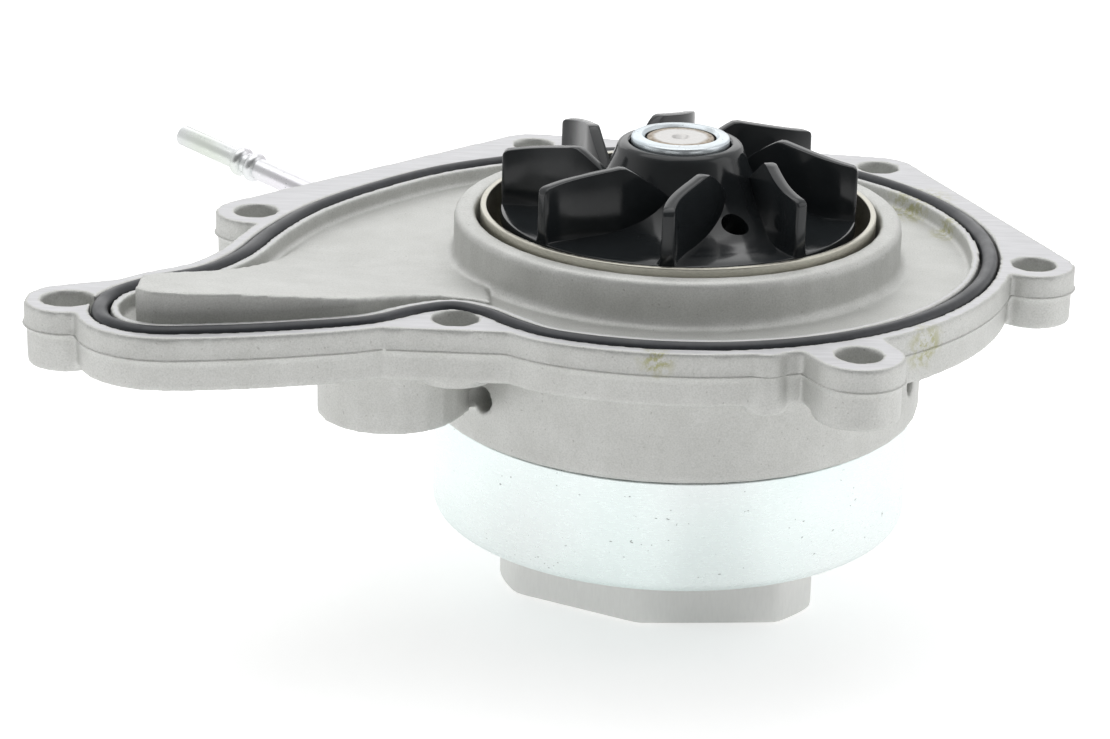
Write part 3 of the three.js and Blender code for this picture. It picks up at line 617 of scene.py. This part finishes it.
BEARING_STEEL = plain_steel("bearing_steel", (0.50, 0.49, 0.48), (0.70, 0.69, 0.67))
IMPELLER_PLASTIC = moulded_plastic(
    "impeller_plastic", (0.016, 0.0185, 0.020), (0.019, 0.022, 0.024), (0.12, 0.17), 0.42
)
DARK_PLASTIC = moulded_plastic("dark_plastic", (0.012, 0.012, 0.013), (0.02, 0.02, 0.021), (0.45, 0.6))
CARBON = moulded_plastic("carbon", (0.02, 0.02, 0.021), (0.035, 0.035, 0.036), (0.35, 0.5))
CERAMIC = moulded_plastic("ceramic", (0.66, 0.63, 0.56), (0.76, 0.73, 0.66), (0.15, 0.25))

SLOT_MATERIALS = {
    "cast_aluminium": CAST,
    "seal_rubber": RUBBER,
    "zinc_plate": ZINC,
    "pulley_zinc": PULLEY_ZINC,
    "stainless_sleeve": SLEEVE_STEEL,
    "spring_steel": SPRING_STEEL,
    "bearing_steel": BEARING_STEEL,
    "sintered_steel": HUB_STEEL,
    "impeller_plastic": IMPELLER_PLASTIC,
    "dark_plastic": DARK_PLASTIC,
    "carbon": CARBON,
    "ceramic": CERAMIC,
}

CAD_SHARP = 32.0  # degrees; a steeper edge of a CAD solid stays sharp


def dress_cad_nodes():
    """Every CAD node gets its slot's procedural material and crisp smooth shading."""
    for part in frame["record"]["subparts"]:
        node = frame["nodes"][part["node"]]
        node.data.materials.clear()
        node.data.materials.append(SLOT_MATERIALS[part["material_slot"]])
        shade(node.data, CAD_SHARP)


# ------------------------------------------------------------------ housing

VOXEL = 0.42  # mesh size of the casting's skin; its edges are rounded by a little more
ROUNDING_PASSES = 5
KEPT_FACES = 0.24  # share of the skin's faces left once the flat stretches are thinned
PARTING = 3.6  # depth of the mould parting line below the sealing face
FLASH_SPACING = 0.8  # distance between the ridge's sections
FLASH_SECTION = [  # distance out from the CAD's edge, and height
    (-0.7, -0.2), (0.0, -0.11), (0.08, 0.0), (0.0, 0.11), (-0.7, 0.2),
]


def cast_skin(bm):
    """Wraps a shape in an even skin, rounds every edge and corner, and thins the flat stretches."""
    holder = temporary(bm)
    wrap = holder.modifiers.new("wrap", "REMESH")
    wrap.mode = "VOXEL"
    wrap.voxel_size = VOXEL
    soften = holder.modifiers.new("round_edges", "SMOOTH")
    soften.factor = 0.5
    soften.iterations = ROUNDING_PASSES
    thin = holder.modifiers.new("thin_flats", "DECIMATE")
    thin.ratio = KEPT_FACES
    skin = bmesh.new()
    skin.from_object(holder, bpy.context.evaluated_depsgraph_get())
    remove(holder)
    return skin


def make_housing():
    """The casting: the CAD shape with the rounded edges and filleted corners of a die casting."""
    bm = bmesh.new()
    bm.from_mesh(frame["nodes"]["pump_housing"].data)
    bmesh.ops.scale(bm, vec=(1 / MM,) * 3, verts=bm.verts)
    bmesh.ops.translate(bm, vec=(0, 0, -FACE), verts=bm.verts)
    skin = cast_skin(bm)
    return finish_piece(skin, "housing_casting", CAST, "housing", ["pump_housing"], 60.0)


def outline_at(node, height):
    """The longest loop of a CAD node's section at a height above the sealing face, in millimetres."""
    bm = bmesh.new()
    bm.from_mesh(frame["nodes"][node].data)
    bmesh.ops.remove_doubles(bm, verts=bm.verts, dist=0.001 * MM)
    parts = [*bm.verts, *bm.edges, *bm.faces]
    plane = (0, 0, (FACE + height) * MM)
    cut = bmesh.ops.bisect_plane(bm, geom=parts, plane_co=plane, plane_no=(0, 0, 1))["geom_cut"]
    edges = [item for item in cut if isinstance(item, bmesh.types.BMEdge)]
    links = {vert: [] for edge in edges for vert in edge.verts}
    for edge in edges:
        a, b = edge.verts
        links[a].append(b)
        links[b].append(a)
    best, seen = [], set()
    for start in links:
        loop, here = [], start
        while here is not None and here not in seen:
            seen.add(here)
            loop.append(Vector((here.co.x, here.co.y, 0)) / MM)
            here = next((vert for vert in links[here] if vert not in seen), None)
        length = sum((b - a).length for a, b in zip(loop, loop[1:]))
        if length > sum((b - a).length for a, b in zip(best, best[1:])):
            best = loop
    bm.free()
    area = sum(a.x * b.y - b.x * a.y for a, b in zip(best, best[1:] + best[:1]))
    return best if area > 0 else best[::-1]


def even_loop(points, spacing):
    """The same closed loop with evenly spaced points."""
    ends = list(zip(points, points[1:] + points[:1]))
    count = round(sum((b - a).length for a, b in ends) / spacing)
    step = sum((b - a).length for a, b in ends) / count
    out, want, gone = [], 0.0, 0.0
    for a, b in ends:
        span = (b - a).length
        while want < gone + span and len(out) < count:
            out.append(a.lerp(b, (want - gone) / span))
            want += step
        gone += span
    return out


def make_parting_flash():
    """The thin ridge the mould leaves round the flange's edge."""
    above_joint = 0.05  # the CAD's upper and lower halves meet at the parting line itself
    path = even_loop(outline_at("pump_housing", -PARTING + above_joint), FLASH_SPACING)
    for point in path:
        point.z = -PARTING
    return finish_piece(sweep(path, FLASH_SECTION), "parting_flash", CAST, "housing", smooth=60.0)


# ------------------------------------------------------------------ gasket

SEAL_R = 50.9  # radius of the round stretch of the seal's middle line
SEAL_ARC = (247, 475, 15)  # start, end and step of the angles of its points, in degrees
SEAL_PROUD = 0.15  # how far the bead's crown stands over the CAD's gasket
SEAL_HALF = 1.32  # half the bead's width
SEAL_LOBE = [  # points of the middle line round the water channel and back to the round stretch
    (-38.6, 37.3), (-51, 25.4), (-60.6, 12.4), (-66.2, -0.4), (-70.1, -13), (-74.8, -20.8),
    (-82.6, -26.8), (-87.6, -33), (-88.7, -39.6), (-86.4, -45.8), (-80.5, -49.2), (-70, -48.5),
    (-57.8, -45.9), (-47.5, -42.6), (-40.4, -37.3), (-35.2, -35.2), (-30.2, -37.6), (-25.4, -42.6),
]


def make_gasket():
    """The face seal: a bead with a domed top that stands proud of its groove."""
    arc = [on_circle(SEAL_R, angle) for angle in range(*SEAL_ARC)]
    path = catmull_rom([(x, y, 0) for x, y in arc + SEAL_LOBE], 16)
    low = foot_of("flange_gasket")
    top = top_of("flange_gasket") + SEAL_PROUD
    half = SEAL_HALF
    section = [(-half * 0.9, low), (half * 0.9, low), (half, low + 0.3), (half, top - half)]
    for angle in (math.pi * k / 12 for k in range(1, 12)):
        section.append((half * math.cos(angle), top - half + half * math.sin(angle)))
    section += [(-half, top - half), (-half, low + 0.3)]
    bm = sweep(path, section)
    return finish_piece(bm, "gasket_bead", RUBBER, "housing", ["flange_gasket"], 40.0)


# ------------------------------------------------------------------ sleeve, shaft end and bush

SHAFT_NECK_R = 5.5
SHAFT_SHOULDER = -12.8  # height where the bearing race steps in to the neck


def make_control_sleeve():
    """The bright ring round the impeller that slides out to shut the coolant off."""
    outer = radius_of("control_sleeve")
    wall, base = 1.0, 1.4
    low, top = foot_of("control_sleeve"), top_of("control_sleeve")
    hole = 17.2
    profile = [
        (hole, low), (outer, low), (outer, top), (outer - wall, top),
        (outer - wall, low + base), (hole, low + base),
    ]
    bm = lathe(round_corners(profile, [0.2, 0.8, 0.3, 0.3, 0.8, 0.2]), 192)
    return finish_piece(
        bm, "shutoff_ring", SLEEVE_STEEL, "shutoff_sleeve", ["control_sleeve"]
    )


def make_shaft():
    """The bearing shaft, with a centre mark turned into its end."""
    race = radius_of("shaft")
    low, top = foot_of("shaft"), top_of("shaft")
    profile = [
        (0, low), (race, low), (race, SHAFT_SHOULDER), (SHAFT_NECK_R, SHAFT_SHOULDER + 0.5),
        (SHAFT_NECK_R, top), (1.5, top), (0.5, top - 0.9), (0, top - 0.9),
    ]
    bm = lathe(round_corners(profile, [0, 0.5, 0.1, 0.1, 0.45, 0.25, 0.1, 0]), 128)
    return finish_piece(bm, "shaft_turned", SHAFT_STEEL, "rotor", ["shaft"])


def make_bush():
    """The plated bush moulded into the impeller, with a lightly coned end face."""
    outer = radius_of("impeller_bush")
    low, top = foot_of("impeller_bush"), top_of("impeller_bush")
    inner = SHAFT_NECK_R + 0.3
    profile = [(inner, low), (outer, low), (outer, top - 0.25), (inner + 0.5, top), (inner, top - 0.5)]
    bm = lathe(round_corners(profile, [0, 0.2, 0.5, 0.15, 0.1]), 128)
    return finish_piece(bm, "bush_ring", BUSH_ZINC, "rotor", ["impeller_bush"])


# ------------------------------------------------------------------ impeller

BLADES = 8
BLADE_FIRST = 355.0  # bearing of the first blade's outer end, in degrees
BLADE_SWEEP = 36.0  # degrees a blade turns between its outer end and its root
BLADE_ROOT_R = 12.0
BLADE_PEAK = (17.0, 16.3)  # radius and height of a blade's highest point
BLADE_RIM_TOP = 13.7
BLADE_ROOT_TOP = 11.5
BLADE_STEPS = 26
RIM_ROUND = 0.9  # radius of the corner where a blade's top edge meets its outer end
BALANCE_ANGLES = (302, 32, 122, 212)
BALANCE_HOLE_R = 2.3
BALANCE_PLACE = (15.8, 0, 6.3)
BALANCE_TILT = math.radians(32)
BUSH_SEAT = 6.0  # height of the bottom of the bore that holds the bush
HUB_FLARE = [  # radius and height along the hub's flared side, from the disc up
    (24.0, 5.1), (20.0, 5.6), (17.0, 6.6), (14.3, 8.4), (12.3, 11.0), (11.0, 13.8), (10.3, 15.8),
]


def blade_top(radius, rim):
    """A blade's top edge: it rises from the rim to a peak, then falls to the hub."""
    peak_r, peak_top = BLADE_PEAK
    if radius > peak_r:
        t = (radius - peak_r) / (rim - peak_r)
        height = peak_top + (BLADE_RIM_TOP - peak_top) * t**0.9
        corner = max(0.0, (radius - rim + RIM_ROUND) / RIM_ROUND)
        return height - RIM_ROUND * (1 - math.sqrt(max(0.0, 1 - corner**2)))
    t = (peak_r - radius) / (peak_r - BLADE_ROOT_R)
    return peak_top + (BLADE_ROOT_TOP - peak_top) * max(t, 0.0) ** 1.3


def blade_section(top, squeeze):
    """A blade's outline across its thickness: a flared foot, draft and a rounded top edge."""
    right = [
        (1.7, 4.55), (1.3, 5.15), (1.12, 5.9), (1.06, 7.0),
        (0.97, top - 0.26), (0.9, top - 0.08), (0.72, top),
    ]
    right = [(u * squeeze, z) for u, z in right]
    return right + [(-u, z) for u, z in reversed(right)]


def blade(first, rim):
    """One curved blade, its outer end rounded by sections that get thinner towards the rim."""
    bm = bmesh.new()
    ends = [0.0, 0.06, 0.18, 0.4, 0.8]
    squeezes = [0.7, 0.88, 0.97, 1.0]
    outer = rim - ends[-1]
    inner = BLADE_ROOT_R - 2.5
    radii = [rim - end for end in ends]
    radii += [outer + (inner - outer) * k / BLADE_STEPS for k in range(1, BLADE_STEPS + 1)]

    def centre(radius):
        inward = max(0.0, (rim - radius) / (rim - BLADE_ROOT_R))
        return Vector((*on_circle(radius, first + BLADE_SWEEP * inward**2.4), 0))

    rings = []
    for i, radius in enumerate(radii):
        along = (centre(radius - 0.2) - centre(radius + 0.2)).normalized()
        across = Vector((0, 0, 1)).cross(along)
        squeeze = squeezes[i] if i < len(squeezes) else 1.0
        section = blade_section(blade_top(radius, rim), squeeze)
        rings.append([bm.verts.new(centre(radius) + across * u + Vector((0, 0, z))) for u, z in section])
    for a, b in zip(rings, rings[1:]):
        for k in range(len(a)):
            m = (k + 1) % len(a)
            bm.faces.new((a[k], a[m], b[m], b[k]))
    bm.faces.new(rings[0])
    bm.faces.new(list(reversed(rings[-1])))
    return bm


def make_impeller():
    """The moulded wheel: a disc with a flared hub, blades, balance holes and a bore for the bush."""
    rim = max(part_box("impeller")[1].x, -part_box("impeller")[0].x) / MM
    low = foot_of("impeller")
    bore = radius_of("impeller_bush") + 0.3
    flare = [(p.x, p.y) for p in open_curve(HUB_FLARE, 6)]
    crown = 16.7
    profile = [
        (bore - 1.3, low), (rim - 0.3, low), (rim, low + 0.3),
        (rim, 4.7), (rim - 0.12, 4.9), (rim - 0.4, 5.0), *flare,
        (10.05, 16.25), (9.7, 16.52), (9.25, crown), (bore + 0.25, crown), (bore, crown - 0.25),
        (bore, BUSH_SEAT), (bore - 1.3, BUSH_SEAT),
    ]
    wheel = lathe(profile, 160)
    blades = [blade(BLADE_FIRST + 360 * k / BLADES, rim - 0.05) for k in range(BLADES)]
    wheel = boolean(wheel, blades, "UNION")
    holes = []
    for angle in BALANCE_ANGLES:
        turn = Matrix.Rotation(math.radians(angle), 4, "Z")
        tilt = Matrix.Rotation(BALANCE_TILT, 4, "Y")
        place = turn @ Matrix.Translation(BALANCE_PLACE) @ tilt
        holes.append(moved(pole(BALANCE_HOLE_R, -6, 6, segments=40), place))
    holes.append(pole(bore, BUSH_SEAT, 30.0, segments=160))
    wheel = boolean(wheel, holes, "DIFFERENCE")
    return finish_piece(
        wheel, "impeller_moulding", IMPELLER_PLASTIC, "rotor", ["impeller"], 38
    )


# ------------------------------------------------------------------ pulley and drive hub

SCREW_ANGLES = (78, 198, 318)
SCREW_CIRCLE = 18.0
SCREW_PLACES = [on_circle(SCREW_CIRCLE, angle) for angle in SCREW_ANGLES]
SCREW_HOLE_R = 2.7
SCREW_HOLE_FOOT = -52.3  # height where the hub's blind screw holes end
PULLEY_RAISED = 0.2  # the cup's rim comes this much closer to the boss than the CAD's
HUB_LOBE_R = 28.4
HUB_FLAT = 23.3  # distance of the flats from the axis
HUB_FLAT_HALF = 16.0  # degrees between the middle of a side and the middle of each of its flats
HUB_FIRST_SIDE = 258.0  # bearing of the middle of the first side, in degrees
HUB_NOSE_R = 9.0


def make_pulley():
    """The plain belt pulley: a pressed cup with rolled corners."""
    outer = radius_of("drive_pulley")
    low, top = foot_of("drive_pulley"), top_of("drive_pulley") + PULLEY_RAISED
    wall, web = 2.55, 2.4
    inner = outer - wall
    nose = HUB_NOSE_R + 0.3
    profile = [
        (nose, low), (outer, low), (outer, top), (inner, top), (inner, low + web), (nose, low + web),
    ]
    cup = lathe(round_corners(profile, [0.2, 1.5, 0.25, 0.25, 1.6, 0.2], 7), 224)
    holes = [pole(SCREW_HOLE_R, low - 1, low + web + 1, *place) for place in SCREW_PLACES]
    cup = boolean(cup, holes, "DIFFERENCE")
    return finish_piece(cup, "pulley_cup", PULLEY_ZINC, "rotor", ["drive_pulley"])


def hub_radius(angle):
    """Three round lobes with two flats between each pair, their corners slightly rounded."""
    reach = [HUB_LOBE_R]
    for turn in (0, 120, 240):
        for side in (-1, 1):
            off = math.radians(angle - HUB_FIRST_SIDE - turn - side * HUB_FLAT_HALF)
            if math.cos(off) > 0.6:
                reach.append(HUB_FLAT / math.cos(off))
    soft = 3.0
    return -math.log(sum(math.exp(-soft * (r - HUB_LOBE_R)) for r in reach)) / soft + HUB_LOBE_R


def make_drive_hub():
    """The sintered hub: a lobed block with softened rims, and a nose that centres the pulley."""
    low = foot_of("drive_hub")
    top = foot_of("drive_pulley") - 0.3
    count = 240
    edge = 0.8
    levels = [(edge, low), (0.35, low + 0.12), (0.12, low + 0.35), (0, low + edge)]
    levels += [(0, top - 0.5), (0.15, top - 0.15), (0.5, top)]
    bm = bmesh.new()
    rings = []
    for inset, z in levels:
        turn = [on_circle(hub_radius(360 * k / count) - inset, 360 * k / count) for k in range(count)]
        rings.append([bm.verts.new((x, y, z)) for x, y in turn])
    for a, b in zip(rings, rings[1:]):
        for k in range(count):
            m = (k + 1) % count
            bm.faces.new((a[k], a[m], b[m], b[k]))
    bm.faces.new(list(reversed(rings[0])))
    bm.faces.new(rings[-1])
    bm = boolean(bm, [pole(HUB_NOSE_R, top - 2, top_of("drive_hub"), segments=96)], "UNION")
    bores = [pole(radius_of("shaft") + 0.3, foot_of("shaft") - 0.3, 0, segments=96)]
    bores += [pole(SCREW_HOLE_R, SCREW_HOLE_FOOT, 0, *place) for place in SCREW_PLACES]
    bm = boolean(bm, bores, "DIFFERENCE")
    return finish_piece(bm, "hub_block", HUB_STEEL, "rotor", ["drive_hub"])


# ------------------------------------------------------------------ vacuum pipe and core plug

PIPE_HEADING = math.radians(143)
PIPE_TILT = math.radians(8.4)
PIPE_CROSSING = (40.9, -14.4)  # radius and height of the point it passes through
PIPE_BEADS = (94.0, 97.2)  # where the beads are along the pipe
BEAD_RISE = 0.72
BEAD_HALF = 1.1  # half a bead's length
PIPE_TIP_R = 1.88  # the stretch past the beads is a little thinner
PIPE_TIP_START = 99.2


def make_pipe():
    """The vacuum pipe: a thin tube with two rolled beads near its open end."""
    radius, bore, start, end = 2.0, 1.25, 36.5, 112.0
    tip = PIPE_TIP_R
    profile = [(bore, start), (radius, start)]
    for at in PIPE_BEADS:
        for k in range(9):
            angle = math.pi * k / 8
            profile.append((radius + BEAD_RISE * math.sin(angle) ** 1.3, at - BEAD_HALF * math.cos(angle)))
    profile += [(tip, PIPE_TIP_START), (tip, end - 0.35), (tip - 0.1, end - 0.1), (tip - 0.3, end)]
    profile += [(bore + 0.12, end), (bore, end - 0.15)]
    bm = lathe(profile, 48)
    radius_at, height_at = PIPE_CROSSING
    lay_down = Matrix.Rotation(math.pi / 2, 4, "Y") @ Matrix.Translation((0, 0, -radius_at))
    tilt = Matrix.Translation((radius_at, 0, height_at)) @ Matrix.Rotation(-PIPE_TILT, 4, "Y")
    moved(bm, Matrix.Rotation(PIPE_HEADING, 4, "Z") @ tilt @ lay_down)
    return finish_piece(bm, "vacuum_tube", PIPE_ZINC, "housing", ["vacuum_pipe"])


def make_core_plug():
    """The pressed cup that closes the side boss."""
    low_corner, high_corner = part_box("core_plug")
    middle = (low_corner + high_corner) / 2 / MM
    radius = (high_corner.x - low_corner.x) / 2 / MM
    low, top = foot_of("core_plug"), top_of("core_plug")
    profile = [
        (0, top - 0.9), (0, top), (radius, top), (radius, low),
        (radius - 0.9, low), (radius - 0.9, top - 1.3), (radius - 1.5, top - 0.9),
    ]
    bm = lathe(round_corners(profile, [0, 0, 0.8, 0.25, 0.25, 0.3, 0.3]), 96)
    moved(bm, Matrix.Translation((middle.x, middle.y, 0)))
    return finish_piece(bm, "plug_cup", ZINC, "housing", ["core_plug"])


# ------------------------------------------------------------------ return spring

CLOSED_TURNS = 0.45  # turns at each end that lie nearly flat
CLOSED_RISE = 0.28  # share of the height that comes from an even climb over every turn


def make_spring():
    """The wire of the actuator's return spring, its end turns lying nearly flat."""
    wire, coil_r, turns = 0.6, 20.6, 2.9
    low, top = foot_of("return_spring") + wire, top_of("return_spring") - wire
    steps = 240
    closed = CLOSED_TURNS / turns
    path = []
    for k in range(steps + 1):
        t = k / steps
        ease = min(max((t - closed) / (1 - 2 * closed), 0.0), 1.0)
        rise = (1 - CLOSED_RISE) * ease * ease * (3 - 2 * ease) + CLOSED_RISE * t
        path.append((*on_circle(coil_r, 360 * turns * t), low + (top - low) * rise))
    section = [on_circle(wire, 360 * k / 12) for k in range(12)]
    bm = sweep(path, section, closed=False)
    piece = finish_piece(bm, "spring_wire", SPRING_STEEL, "housing", ["return_spring"])
    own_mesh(piece)
    return piece


# ------------------------------------------------------------------ build

make_camera()
dress_cad_nodes()
make_housing()
make_parting_flash()
make_gasket()
make_control_sleeve()
make_shaft()
make_bush()
make_impeller()
make_pulley()
make_drive_hub()
make_pipe()
make_core_plug()
make_spring()
make_studio()
